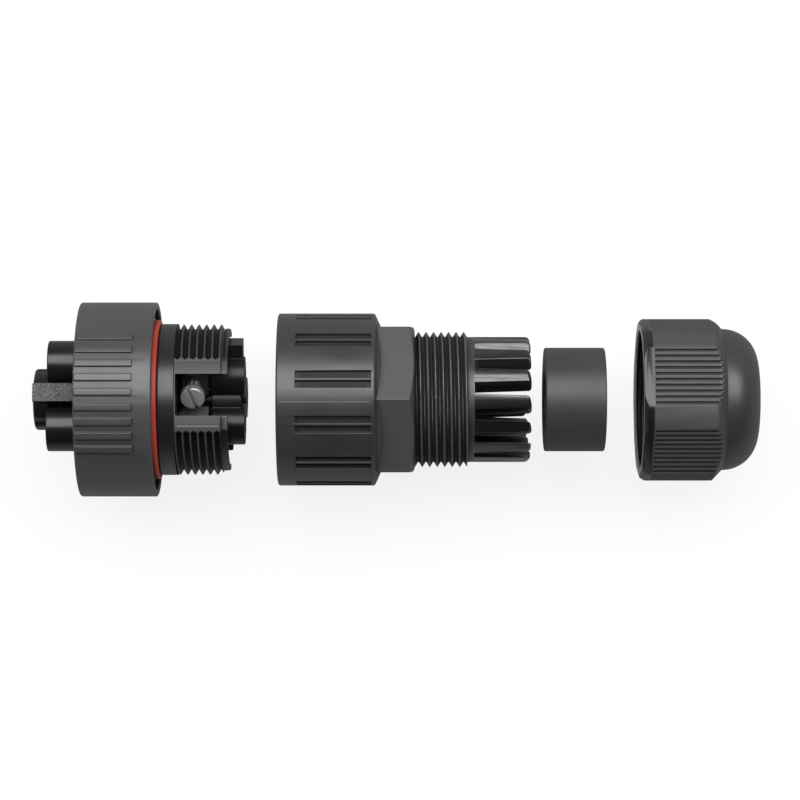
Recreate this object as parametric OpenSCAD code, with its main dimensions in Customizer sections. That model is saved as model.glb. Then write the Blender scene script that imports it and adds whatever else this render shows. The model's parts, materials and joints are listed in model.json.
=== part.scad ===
// Waterproof cable socket, set out along its axis in the order of assembly.
// The axis is X with the mating face at X = 0. Angles run round it from +Z towards -Y.

/* [Fits] */
// Radial gap of screwed and sliding pairs
thread_gap = 0.3; // [0.2:0.05:0.4]
// Radial gap of turning pairs
running_gap = 0.08; // [0.04:0.02:0.1]
// Gap round pieces that are pushed together
push_gap = 0.2; // [0.1:0.05:0.3]
// Axial play of the coupling ring
ring_play = 0.3; // [0.2:0.05:0.5]

/* [Insert] */
// Diameter of the insulating core
core_d = 25.6; // [25:0.2:27]
// Step from the core to the insert's flange
flange_step = 0.7; // [0.4:0.1:1]
// Front face of the flange, behind the mating face
flange_x = 2.4; // [2:0.1:3]
// Thickness of the flange
flange_t = 3; // [2.4:0.2:3.6]
// Length of the insert behind its flange
insert_tail_len = 3.6; // [3:0.2:5]
// Diameter of a contact barrel
barrel_d = 9.4; // [8:0.2:10]
// Radius of the circle that the barrels stand on
barrel_ring_r = 7.4; // [7:0.1:7.8]
// Angle of the first barrel
barrel_angle = -71; // [-80:1:-62]
// Height of the barrels in front of the flange
barrel_len = 8.7; // [6:0.1:10]
// Diameter of the middle hub
hub_d = 12.2; // [11:0.2:13]
// Height of the hub in front of the barrels
hub_lead = 2.9; // [2:0.1:4]
// Diameter of the dish in the hub's end
hub_dish_d = 6.4; // [4:0.2:7]
// Depth of the dish in the hub's end
hub_dish_depth = 1.2; // [0.8:0.1:2]
// Width of the polarising key
key_w = 3.8; // [3:0.1:4.5]
// Reach of the key from the axis
key_reach = 8.8; // [8:0.1:10]
// Angle of the key
key_angle = -9.5; // [-14:0.5:-5]
// Setback of the key's end behind the hub's end
key_setback = 0.2; // [0.1:0.1:1]

/* [Contacts] */
// Number of contacts
contact_count = 3; // [2:1:3]
// Bore of a contact, for the mating pin
pin_bore_d = 3.1; // [2.6:0.1:3.3]
// Wall of a contact tube
contact_wall = 0.65; // [0.5:0.05:0.8]
// Depth of the pin bore
pin_bore_depth = 12; // [9:0.5:13]
// Width of the slit in a contact tube
contact_slit_w = 0.4; // [0.3:0.1:0.6]
// Lip in front of the contact tube
contact_lip_t = 0.7; // [0.5:0.1:1]
// Thickness of the contact's link
link_t = 1.2; // [0.8:0.1:1.6]
// Margin of the link round the tube and round the tongue
link_margin = 0.3; // [0.2:0.05:0.5]
// Width of the contact's tongue
tongue_w = 3.2; // [2.8:0.1:3.4]
// Thickness of the contact's tongue
tongue_t = 0.8; // [0.6:0.1:1]

/* [Terminals] */
// Angle of the first screw head and of the first window
terminal_angle = -3.7; // [-8:0.1:2]
// Distance from the axis to the middle of a screw head
head_ring_r = 9; // [8.8:0.1:9.2]
// Tilt of a screw from the radius through its head
screw_tilt = 37; // [34:1:40]
// Start of the clamp cage behind the start of the tail thread
cage_offset = 1.1; // [0.8:0.1:1.6]
// Length of a clamp cage
cage_len = 5.2; // [5:0.1:6]
// Place of the screw along the cage
screw_offset = 2.3; // [2:0.1:2.8]
// Side wall of a cage
cage_side_wall = 0.7; // [0.5:0.1:1]
// Floor of a cage
cage_floor = 0.8; // [0.6:0.1:1]
// Threaded roof of a cage
cage_roof = 1.5; // [1.2:0.1:2]
// Height of the wire space in a cage
wire_space = 3; // [2.6:0.1:3.4]
// Thread diameter of a terminal screw
screw_d = 2.8; // [2.5:0.1:3]
// Head diameter of a terminal screw
screw_head_d = 4.8; // [4.4:0.1:5]
// Head height of a terminal screw
screw_head_h = 1.8; // [1.4:0.1:2.2]
// Rise of the backed-out screw head over the cage
screw_rise = 3.2; // [2.8:0.1:3.4]
// Reach of the backed-out screw into the wire space
screw_reach = 0.6; // [0.3:0.1:1]
// Width of the screwdriver slot
driver_slot_w = 0.8; // [0.6:0.1:1]
// Depth of the screwdriver slot
driver_slot_depth = 1; // [0.8:0.1:1.2]
// Turn of the screwdriver slot
driver_slot_turn = 110; // [0:5:175]

/* [Terminal carrier] */
// Radius of the post behind the terminals
post_r = 2.2; // [1.6:0.1:2.2]
// Space before and behind the cages
bay_gap = 0.7; // [0.4:0.1:1]
// Diameter of a wire guide
guide_d = 8.2; // [7.6:0.2:8.8]
// Radius of the core between the wire guides
guide_core_r = 5.2; // [5:0.1:5.6]
// Bore for one wire
wire_bore_d = 3.8; // [3:0.1:4.4]
// Setback of the carrier's side rib and, twice as far, of its core behind the wire guides
guide_step = 0.4; // [0.2:0.1:0.6]
// Overhang of the wire guides behind the tail
guide_overhang = 3; // [2:0.2:5]
// Width of the carrier's side rib
side_rib_w = 5; // [4:0.2:6]
// Reach of the carrier's side rib from the axis
side_rib_reach = 12.1; // [11:0.1:12.4]
// Angle of the carrier's side rib
side_rib_angle = -73; // [-80:1:-66]

/* [Tail body] */
// Front face of the tail body, behind the mating face
tail_front_x = 2; // [1.6:0.1:2.4]
// Wall under the tail thread
tail_wall = 2; // [1.8:0.1:2.6]
// Height of the collar over the tail thread
collar_step = 0.1; // [0.05:0.05:0.4]
// Length of the collar
collar_len = 3.3; // [2:0.1:4]
// Length of the tail thread
tail_thread_len = 9.1; // [8.5:0.1:12]
// Length of the plain end behind the thread
tail_end_len = 1.4; // [1:0.1:2]
// Drop from the thread to the plain end
tail_end_drop = 0.8; // [0.6:0.05:1.2]
// Height of the neck over the collar
neck_step = 0.1; // [0.05:0.05:0.3]
// Height of the shoulder over the neck
shoulder_step = 1.2; // [0.8:0.1:1.4]
// Length of the shoulder
shoulder_len = 6.3; // [5:0.1:8]
// Width of a terminal window
window_w = 8.2; // [7:0.2:9]
// Edge rounding of the moulded pieces
mould_round = 0.3; // [0.1:0.1:0.4]

/* [Seals and snap ring] */
// Thickness of the housing seal
housing_seal_t = 1.2; // [1:0.1:1.6]
// Height of the housing seal over the collar
housing_seal_rise = 0.8; // [0.5:0.1:1]
// Depth of the housing seal's groove under the collar
housing_seal_groove = 0.6; // [0.4:0.1:0.8]
// Thickness of the mating seal
mating_seal_t = 1; // [0.8:0.1:1.4]
// Width of the mating seal
mating_seal_w = 1.1; // [0.8:0.1:1.2]
// Thickness of the snap ring
snap_t = 1.2; // [0.8:0.1:1.4]
// Height of the snap ring over the neck
snap_rise = 1.4; // [1:0.1:1.6]
// Depth of the snap ring's groove
snap_groove = 0.6; // [0.4:0.1:0.7]
// Setback of the snap ring behind the tail's front face
snap_setback = 2.2; // [1.8:0.1:2.6]
// Opening of the snap ring in degrees
snap_opening = 28; // [15:1:45]

/* [Coupling ring] */
// Length of the ring
ring_len = 15.2; // [14:0.1:15.8]
// Space round the neck for the mating shell
mating_space = 2; // [1.8:0.1:2.4]
// Wall of the ring at its front
ring_wall = 2.2; // [1.6:0.05:2.6]
// Wall of the ring's skirt
skirt_wall = 1.35; // [1:0.05:1.5]
// Thickness of the inner lip
lip_t = 2.3; // [1.6:0.1:3]
// Number of bayonet lugs
lug_count = 3; // [2:1:4]
// Width of a bayonet lug in degrees
lug_deg = 34; // [20:1:50]
// Height of a bayonet lug
lug_h = 1.1; // [0.8:0.1:1.3]
// Length of a bayonet lug
lug_len = 2; // [1.4:0.1:2.4]
// Setback of the lugs from the front rim
lug_setback = 0.9; // [0.5:0.1:1.2]
// Number of groups of grip ribs
rib_groups = 2; // [2:1:4]
// Ribs in a group
rib_count = 9; // [5:1:9]
// Pitch of the ribs in degrees
rib_pitch = 8.5; // [7.5:0.5:9]
// Width of a rib in degrees
rib_deg = 4.1; // [3:0.1:5]
// Height of a rib
rib_h = 0.45; // [0.2:0.05:0.6]
// Length of a rib
rib_len = 11.4; // [9:0.2:13]
// Angle of the first group's middle
rib_angle = -4.3; // [-10:0.1:10]

/* [Cable housing] */
// Space between the wire guides and the housing
housing_space = 6.5; // [4:0.5:20]
// Wall of the housing at its mouth
housing_wall = 1.8; // [1.6:0.1:2.6]
// Length of the housing's body
housing_len = 19.3; // [19:0.1:22]
// Room behind the tail inside the housing
housing_room = 0.8; // [0.6:0.1:1.4]
// Length of the cone inside the housing
throat_cone_len = 3.4; // [2:0.2:4]
// Number of pockets round the housing
pocket_count = 12; // [8:1:12]
// Width of a pocket
pocket_w = 3.4; // [2.8:0.1:3.8]
// Depth of a pocket
pocket_depth = 0.8; // [0.4:0.1:0.9]
// Width of the rib along the middle of a pocket
pocket_rib_w = 0.5; // [0.3:0.1:0.8]
// Setback of the pockets from the housing's mouth
pocket_setback = 3.8; // [3:0.1:6]
// Margin behind the pockets
pocket_margin = 0.7; // [0.6:0.1:1.2]
// Rounding of the housing's rims
housing_round = 0.5; // [0.3:0.1:0.5]
// Length of the cone from the housing's body down to the hexagon
shoulder_cone_len = 1.4; // [0.8:0.1:2]
// Angle of the first pocket
pocket_angle = 16.6; // [0:0.1:30]
// Length of the hexagon
hex_len = 7.9; // [6:0.1:9]
// Margin of the hexagon's flats over the gland thread
hex_margin = 0.9; // [0.5:0.1:1.5]
// Chamfer of the hexagon
hex_chamfer = 1.1; // [0.6:0.1:1.5]

/* [Gland] */
// Bore of the grommet, for the cable
cable_d = 12; // [9:0.5:13]
// Wall of the grommet
grommet_wall = 4.35; // [3.8:0.05:5]
// Length of the grommet
grommet_len = 12; // [10:0.5:14]
// Width of the step that the grommet stops on
grommet_step = 1.45; // [1:0.05:1.8]
// Wall of the clamping fingers
finger_wall = 1.85; // [1.5:0.05:2.2]
// Number of clamping fingers
finger_count = 15; // [12:1:16]
// Length of the slots between the fingers
finger_len = 11.2; // [9:0.1:13]
// Slant of the slots from the radius
finger_slant = 45; // [30:1:50]
// Width of a slot at its root
slot_root_w = 1.5; // [1:0.05:1.6]
// Width of a slot at its mouth
slot_mouth_w = 2; // [1.6:0.05:2]
// Angle of the first slot
slot_angle = -11; // [-12:0.5:12]
// Rounding of the fingertips
finger_round = 1; // [0.5:0.1:1.2]
// Rounding of the fingers' corners beside the slots
finger_corner = 0.6; // [0.4:0.1:0.7]
// Depth of the gland thread
gland_thread_depth = 1; // [0.8:0.1:1.3]
// Length of the gland thread
gland_thread_len = 10.5; // [9:0.1:12]
// Length of the plain collar behind the gland thread
finger_collar_len = 1.3; // [1:0.1:2]
// Space between the fingertips and the grommet
grommet_space = 2.9; // [2:0.1:20]

/* [Gland nut] */
// Space between the grommet and the nut
nut_space = 7; // [2:0.5:20]
// Length of the nut
nut_len = 23.5; // [23:0.1:26]
// Wall under the nut's flats
nut_wall = 1.4; // [1.2:0.1:2]
// Height of the nut's corner panels over its flats
nut_panel_rise = 1; // [0.6:0.1:1.3]
// Angle of the nut's first flat
nut_angle = -17.4; // [-30:0.1:30]
// Chamfer of the nut's mouth
nut_chamfer = 0.6; // [0.3:0.1:1]
// Step from the nut's flats down to its dome
dome_step = 1.1; // [0.8:0.1:1.6]
// Length of the smooth collar at the nut's mouth
nut_collar_len = 2.2; // [1.6:0.1:3]
// End of the grip flats
nut_grip_end = 14.4; // [13:0.1:15]
// Length of the cone behind the grip flats
nut_cone_len = 2; // [1.6:0.1:2.4]
// Number of grooves on a flat
groove_count = 10; // [6:1:10]
// Pitch of the grooves
groove_pitch = 1.2; // [1:0.05:1.2]
// Width of a groove
groove_w = 0.5; // [0.3:0.05:0.6]
// Depth of a groove
groove_depth = 0.4; // [0.2:0.05:0.5]
// Radius of the nut's dome
dome_round = 6.9; // [5:0.1:7]
// Depth of the nut's thread
nut_thread_len = 10.8; // [10:0.1:12]
// Start of the cone that closes the fingers
squeeze_start = 16.2; // [15:0.1:16.4]
// Reach of that cone towards the axis
squeeze_drop = 5.2; // [4:0.1:5.4]

/* [Hidden] */

// Overlap that makes joined shapes one solid, and cuts pass their faces
weld = 0.5;
fn_round = 96;
fn_small = 48;
turn_share = 360 / contact_count;

// Sizes of the insert
core_r = core_d / 2;
flange_r = core_r + flange_step;
flange_end_x = flange_x + flange_t;
insert_end_x = flange_end_x + insert_tail_len;
barrel_front_x = flange_x - barrel_len;
hub_front_x = barrel_front_x - hub_lead;

// Sizes of the tail body, from its front to its end
tail_bore_r = core_r + push_gap;
tail_thread_r = tail_bore_r + tail_wall;
collar_r = tail_thread_r + collar_step;
neck_r = collar_r + neck_step;
shoulder_r = neck_r + shoulder_step;
snap_x = tail_front_x + snap_setback;
lip_x = snap_x + snap_t + ring_play;
lip_end_x = lip_x + lip_t;
shoulder_x = lip_end_x + ring_play;
seal_groove_x = shoulder_x + shoulder_len;
collar_x = seal_groove_x + housing_seal_t + push_gap;
tail_thread_x = collar_x + collar_len;
tail_thread_end_x = tail_thread_x + tail_thread_len;
tail_end_x = tail_thread_end_x + tail_end_len;
seal_floor_r = collar_r - housing_seal_groove;
snap_floor_r = neck_r - snap_groove;

// Sizes of the contacts and terminals
pin_bore_r = pin_bore_d / 2;
contact_r = pin_bore_r + contact_wall;
contact_x = barrel_front_x + contact_lip_t;
cage_x = tail_thread_x + cage_offset;
cage_end_x = cage_x + cage_len;
screw_x = cage_x + screw_offset;
cage_open_w = tongue_w + push_gap;
cage_w = cage_open_w + 2 * cage_side_wall;

// Heights along a screw, from the middle of its head
head_top_h = screw_head_h / 2;
cage_top_h = -head_top_h - screw_rise;
wire_roof_h = cage_top_h - cage_roof;
wire_floor_h = wire_roof_h - wire_space;
wire_h = (wire_floor_h + wire_roof_h) / 2;
tongue_h = wire_floor_h - tongue_t;
cage_bottom_h = tongue_h - cage_floor;
screw_tip_h = wire_roof_h - screw_reach;

// Sizes of the terminal carrier
carrier_disc_end_x = cage_x - bay_gap;
guide_x = cage_end_x + bay_gap;
carrier_end_x = tail_end_x + guide_overhang;
guide_core_end_x = carrier_end_x - 2 * guide_step;

// Sizes of the coupling ring
ring_bore_r = neck_r + mating_space;
ring_r = ring_bore_r + ring_wall;
skirt_bore_r = ring_r - skirt_wall;

// Sizes of the gland, from the grommet outwards
cable_r = cable_d / 2;
grommet_r = cable_r + grommet_wall;
finger_bore_r = grommet_r + thread_gap;
finger_r = finger_bore_r + finger_wall;
gland_thread_r = finger_r + gland_thread_depth;
throat_r = finger_bore_r - grommet_step;
hex_flat_r = gland_thread_r + hex_margin;

// Sizes of the cable housing, from its mouth to its fingertips
housing_x = carrier_end_x + housing_space;
mouth_bore_r = collar_r + thread_gap;
housing_thread_bore_r = tail_thread_r + thread_gap;
housing_r = mouth_bore_r + housing_wall;
housing_end_x = housing_x + housing_len;
mouth_bore_end_x = housing_x + collar_len + push_gap;
housing_thread_end_x = mouth_bore_end_x + tail_thread_len + tail_end_len;
housing_room_end_x = housing_thread_end_x + guide_overhang + housing_room;
throat_x = housing_room_end_x + throat_cone_len;
hex_end_x = housing_end_x + hex_len;
gland_thread_end_x = hex_end_x + gland_thread_len;
slot_x = gland_thread_end_x + finger_collar_len;
fingertip_x = slot_x + finger_len;
grommet_stop_x = gland_thread_end_x + finger_collar_len / 2;

// Sizes of the grommet and the nut
grommet_x = fingertip_x + grommet_space;
nut_x = grommet_x + grommet_len + nut_space;
nut_bore_r = gland_thread_r + thread_gap;
nut_relief_r = finger_r + thread_gap;
nut_flat_r = nut_bore_r + nut_wall;
nut_panel_r = nut_flat_r + nut_panel_rise;
nut_exit_r = nut_relief_r - squeeze_drop;
dome_r = nut_flat_r - dome_step;
dome_x = nut_grip_end + nut_cone_len;

function unit(v) = v / norm(v);
function turned_by(v, a) = [v.x * cos(a) - v.y * sin(a), v.x * sin(a) + v.y * cos(a)];
function steps(r) = max(4, ceil(3 * r));

// Arc of radius r that rounds the corner p between its neighbours a and b
function corner_arc(a, p, b, r) =
    let (u = unit(a - p), v = unit(b - p), half = acos(u * v) / 2)
    let (c = p + unit(u + v) * r / sin(half))
    let (s = p + u * r / tan(half) - c, e = p + v * r / tan(half) - c)
    let (sweep = sign(cross(s, e)) * (180 - 2 * half))
    [for (i = [0:steps(r)]) c + turned_by(s, sweep * i / steps(r))];

// Outline of points [x, y, rounding] with each rounded corner drawn as an arc
function rounded(pts) =
    [for (i = [0:len(pts) - 1])
        let (n = len(pts), p = pts[i], a = pts[(i + n - 1) % n], b = pts[(i + 1) % n])
        each (p[2] > 0
            ? corner_arc([a.x, a.y], [p.x, p.y], [b.x, b.y], p[2])
            : [[p.x, p.y]])];

function barrel_turn(i) = barrel_angle + i * turn_share;
function terminal_turn(i) = terminal_angle + i * turn_share;

// Place across the axis of a height along the screw of terminal i, as [radius, angle]
function terminal_place(i, h) =
    let (out = head_ring_r + h * cos(screw_tilt), side = h * sin(screw_tilt))
    [norm([out, side]), terminal_turn(i) + atan2(side, out)];

// Children stand with Z along the axis at x, and X pointing outwards at the angle
module on_axis(x = 0, angle = 0) {
    translate([x, 0, 0])
        rotate([0, 90, 0])
            rotate([0, 0, 180 + angle])
                children();
}

// Revolves an outline of points [x, radius, rounding] round the axis, starting at an angle
module turned(outline, angle = 0) {
    on_axis(0, angle)
        rotate_extrude($fn = fn_round)
            polygon(rounded([for (p = outline) [p[1], p[0], p[2]]]));
}

// Part of a revolved ring from x to x_end, between two radii, centred on an angle
module arc_block(x, x_end, r, r_end, angle, deg) {
    on_axis(x, angle - deg / 2)
        rotate_extrude(angle = deg, $fn = fn_round)
            translate([r, 0])
                square([r_end - r, x_end - x]);
}

// Box that stands on the radius r at an angle and runs from x to x_end
module radial_box(x, x_end, r, r_end, angle, w) {
    on_axis(x, angle)
        translate([r, -w / 2, 0])
            cube([r_end - r, w, x_end - x]);
}

// Children stand at the head of screw i with Z along the axis from x, and X along the screw
module at_terminal(x, i) {
    on_axis(x, terminal_turn(i))
        translate([head_ring_r, 0, 0])
            rotate([0, 0, screw_tilt])
                children();
}

// Box of terminal i from x to x_end, between two heights along its screw
module terminal_box(x, x_end, h, h_end, i, w) {
    at_terminal(x, i)
        translate([h, -w / 2, 0])
            cube([h_end - h, w, x_end - x]);
}

// Rounded post round the line at radius ring_r, from x to x_end
module barrel(x, x_end, ring_r, angle, r) {
    on_axis(x, angle)
        translate([ring_r, 0, 0])
            rotate_extrude($fn = fn_small)
                polygon(rounded([[0, 0, 0], [r, 0, mould_round], [r, x_end - x, 0], [0, x_end - x, 0]]));
}

// Straight cylinder along the line at radius ring_r, from x to x_end
module axial_post(x, x_end, ring_r, angle, r) {
    on_axis(x, angle)
        translate([ring_r, 0, 0])
            cylinder(h = x_end - x, r = r, $fn = fn_small);
}

module socket_insert() {
    color([0.07, 0.07, 0.08])
        difference() {
            union() {
                turned([[flange_x, 0, 0], [flange_x, flange_r, mould_round],
                        [flange_end_x, flange_r, 0], [flange_end_x, core_r, 0],
                        [insert_end_x, core_r, 0], [insert_end_x, 0, 0]]);
                turned([[hub_front_x, 0, 0], [hub_front_x, hub_d / 2, 2 * mould_round],
                        [flange_x + weld, hub_d / 2, 0], [flange_x + weld, 0, 0]]);
                for (i = [0:contact_count - 1])
                    barrel(barrel_front_x, flange_x + weld, barrel_ring_r, barrel_turn(i), barrel_d / 2);
                radial_box(hub_front_x + key_setback, flange_x + weld, 0, key_reach, key_angle, key_w);
            }
            turned([[hub_front_x - weld, 0, 0], [hub_front_x - weld, hub_dish_d / 2, 0],
                    [hub_front_x + hub_dish_depth, hub_dish_d / 2, mould_round],
                    [hub_front_x + hub_dish_depth, 0, 0]]);
            for (i = [0:contact_count - 1]) {
                axial_post(hub_front_x - weld, contact_x + weld, barrel_ring_r, barrel_turn(i),
                           pin_bore_r + push_gap);
                axial_post(contact_x, insert_end_x + weld, barrel_ring_r, barrel_turn(i),
                           contact_r + push_gap / 2);
            }
        }
}

// Flat outline of the link that leads from a contact tube to its terminal
module link_outline(i, grow) {
    tube = barrel_ring_r * [cos(barrel_turn(i)), sin(barrel_turn(i))];
    place = terminal_place(i, tongue_h + tongue_t / 2);
    seat = place[0] * [cos(place[1]), sin(place[1])];
    way = seat - tube;
    translate(tube)
        circle(r = contact_r + link_margin + grow, $fn = fn_small);
    translate(tube)
        rotate(atan2(way.y, way.x))
            translate([0, -tongue_w / 2 - grow])
                square([norm(way), tongue_w + 2 * grow]);
    translate(seat)
        circle(r = tongue_w / 2 + link_margin + grow, $fn = fn_small);
}

module contact(i) {
    color([0.78, 0.66, 0.38])
        difference() {
            union() {
                axial_post(contact_x, insert_end_x + link_t / 2, barrel_ring_r, barrel_turn(i), contact_r);
                on_axis(insert_end_x)
                    linear_extrude(height = link_t)
                        link_outline(i, 0);
                terminal_box(insert_end_x + link_t / 2, cage_end_x, tongue_h, wire_floor_h, i, tongue_w);
            }
            axial_post(contact_x - weld, contact_x + pin_bore_depth, barrel_ring_r,
                       barrel_turn(i), pin_bore_r);
            radial_box(contact_x - weld, contact_x + pin_bore_depth / 2, barrel_ring_r - 2 * contact_r,
                       barrel_ring_r + 2 * contact_r, barrel_turn(i), contact_slit_w);
        }
}

module contact_1() { contact(0); }
module contact_2() { contact(1); }
module contact_3() { contact(2); }

module terminal_carrier() {
    color([0.05, 0.05, 0.06])
        difference() {
            union() {
                turned([[insert_end_x, 0, 0], [insert_end_x, core_r, 0],
                        [carrier_disc_end_x, core_r, mould_round], [carrier_disc_end_x, post_r, 0],
                        [guide_x + weld, post_r, 0], [guide_x + weld, 0, 0]]);
                for (i = [0:contact_count - 1])
                    axial_post(guide_x, carrier_end_x, terminal_place(i, wire_h)[0],
                               terminal_place(i, wire_h)[1], guide_d / 2);
                turned([[guide_x, 0, 0], [guide_x, guide_core_r, 0],
                        [guide_core_end_x, guide_core_r, 0], [guide_core_end_x, 0, 0]]);
                radial_box(guide_x + guide_step, carrier_end_x - guide_step, post_r, side_rib_reach,
                           side_rib_angle, side_rib_w);
            }
            for (i = [0:contact_count - 1]) {
                on_axis(insert_end_x - weld)
                    linear_extrude(height = link_t + weld)
                        link_outline(i, push_gap);
                terminal_box(insert_end_x, carrier_disc_end_x + weld, tongue_h - push_gap / 2,
                             wire_floor_h + push_gap / 2, i, tongue_w + push_gap);
                axial_post(guide_x - weld, carrier_end_x + weld, terminal_place(i, wire_h)[0],
                           terminal_place(i, wire_h)[1], wire_bore_d / 2);
            }
        }
}

module clamp_cage(i) {
    hole_d = screw_d + 2 * running_gap;
    color([0.72, 0.72, 0.7])
        difference() {
            terminal_box(cage_x, cage_end_x, cage_bottom_h, cage_top_h, i, cage_w);
            terminal_box(cage_x - weld, cage_end_x + weld, tongue_h, wire_roof_h, i, cage_open_w);
            at_terminal(screw_x, i)
                translate([wire_h, 0, 0])
                    rotate([0, 90, 0])
                        cylinder(h = cage_top_h - wire_h + weld, d = hole_d, $fn = fn_small);
        }
}

module clamp_cage_1() { clamp_cage(0); }
module clamp_cage_2() { clamp_cage(1); }
module clamp_cage_3() { clamp_cage(2); }

module terminal_screw(i) {
    color([0.8, 0.8, 0.78])
        at_terminal(screw_x, i)
            rotate([0, 90, 0])
                difference() {
                    rotate_extrude($fn = fn_small)
                        polygon(rounded([[0, screw_tip_h, 0], [screw_d / 2, screw_tip_h, mould_round],
                                         [screw_d / 2, -head_top_h, 0], [screw_head_d / 2, -head_top_h, 0],
                                         [screw_head_d / 2, head_top_h, mould_round], [0, head_top_h, 0]]));
                    rotate([0, 0, driver_slot_turn])
                        translate([-screw_head_d, -driver_slot_w / 2, head_top_h - driver_slot_depth])
                            cube([2 * screw_head_d, driver_slot_w, driver_slot_depth + weld]);
                }
}

module terminal_screw_1() { terminal_screw(0); }
module terminal_screw_2() { terminal_screw(1); }
module terminal_screw_3() { terminal_screw(2); }

module tail_body() {
    groove_x = snap_x - push_gap / 4;
    groove_end_x = snap_x + snap_t + push_gap / 4;
    color([0.16, 0.16, 0.17])
        difference() {
            turned([[tail_front_x, flange_r + push_gap, 0], [tail_front_x, neck_r, mould_round],
                    [groove_x, neck_r, 0], [groove_x, snap_floor_r, 0],
                    [groove_end_x, snap_floor_r, 0], [groove_end_x, neck_r, 0],
                    [shoulder_x, neck_r, 0], [shoulder_x, shoulder_r, mould_round],
                    [seal_groove_x, shoulder_r, mould_round], [seal_groove_x, seal_floor_r, 0],
                    [collar_x, seal_floor_r, 0], [collar_x, collar_r, mould_round],
                    [tail_thread_x, collar_r, 0], [tail_thread_x, tail_thread_r, 0],
                    [tail_thread_end_x, tail_thread_r, 0],
                    [tail_thread_end_x, tail_thread_r - tail_end_drop, 0],
                    [tail_end_x, tail_thread_r - tail_end_drop, mould_round], [tail_end_x, tail_bore_r, 0],
                    [flange_end_x, tail_bore_r, 0], [flange_end_x, flange_r + push_gap, 0]]);
            for (i = [0:contact_count - 1])
                radial_box(tail_thread_x + mould_round, tail_end_x + weld, core_r / 2, ring_r,
                           terminal_turn(i), window_w);
        }
}

module snap_ring() {
    color([0.6, 0.6, 0.62])
        arc_block(snap_x, snap_x + snap_t, snap_floor_r + push_gap / 2, neck_r + snap_rise,
                  180, 360 - snap_opening);
}

module mating_seal() {
    seal_r = flange_r + push_gap + mating_seal_w;
    color([0.12, 0.12, 0.12])
        turned([[tail_front_x - mating_seal_t, seal_r - mating_seal_w, mould_round],
                [tail_front_x - mating_seal_t, seal_r, mould_round],
                [tail_front_x, seal_r, 0], [tail_front_x, seal_r - mating_seal_w, 0]]);
}

module housing_seal() {
    seal_x = seal_groove_x + push_gap / 2;
    color([0.8, 0.2, 0.12])
        turned([[seal_x, seal_floor_r + push_gap / 2, 0],
                [seal_x, collar_r + housing_seal_rise, housing_seal_t / 3],
                [seal_x + housing_seal_t, collar_r + housing_seal_rise, housing_seal_t / 3],
                [seal_x + housing_seal_t, seal_floor_r + push_gap / 2, 0]]);
}

module coupling_ring() {
    color([0.3, 0.3, 0.31]) {
        turned([[0, ring_bore_r, mould_round], [0, ring_r, mould_round],
                [ring_len, ring_r, mould_round], [ring_len, skirt_bore_r, mould_round],
                [lip_end_x, skirt_bore_r, 0], [lip_end_x, neck_r + running_gap, 0],
                [lip_x, neck_r + running_gap, 0], [lip_x, ring_bore_r, 0]]);
        for (g = [0:rib_groups - 1], k = [0:rib_count - 1])
            arc_block(mould_round, rib_len, ring_r - rib_h, ring_r + rib_h,
                      rib_angle + g * 360 / rib_groups + (k - (rib_count - 1) / 2) * rib_pitch, rib_deg);
        for (i = [0:lug_count - 1])
            arc_block(lug_setback, lug_setback + lug_len, ring_bore_r - lug_h, ring_bore_r + weld,
                      rib_angle + i * 360 / lug_count, lug_deg);
    }
}

// Hexagon across flats 2 * flat_r with its first flat at an angle
module hexagon_block(x, x_end, flat_r, angle) {
    on_axis(x, angle + 30)
        cylinder(h = x_end - x, r = flat_r / cos(30), $fn = 6);
}

// Cut between two fingers, slanted from the radius and wider at the tips
module finger_slot(angle) {
    reach = 2 * finger_wall;
    mouth = finger_len + push_gap / 4;
    flare = slot_mouth_w / 2 + finger_corner + push_gap / 4;
    on_axis(slot_x, angle)
        translate([finger_r, 0, 0])
            rotate([0, 0, -finger_slant])
                translate([-reach, 0, 0])
                    rotate([0, 90, 0])
                        linear_extrude(height = reach + 2 * finger_wall)
                            polygon(rounded([[0, -slot_root_w / 2, 0],
                                             [-mouth, -slot_mouth_w / 2, finger_corner],
                                             [-mouth, -flare, 0], [-mouth - weld, -flare, 0],
                                             [-mouth - weld, flare, 0], [-mouth, flare, 0],
                                             [-mouth, slot_mouth_w / 2, finger_corner],
                                             [0, slot_root_w / 2, 0]]));
}

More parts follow.
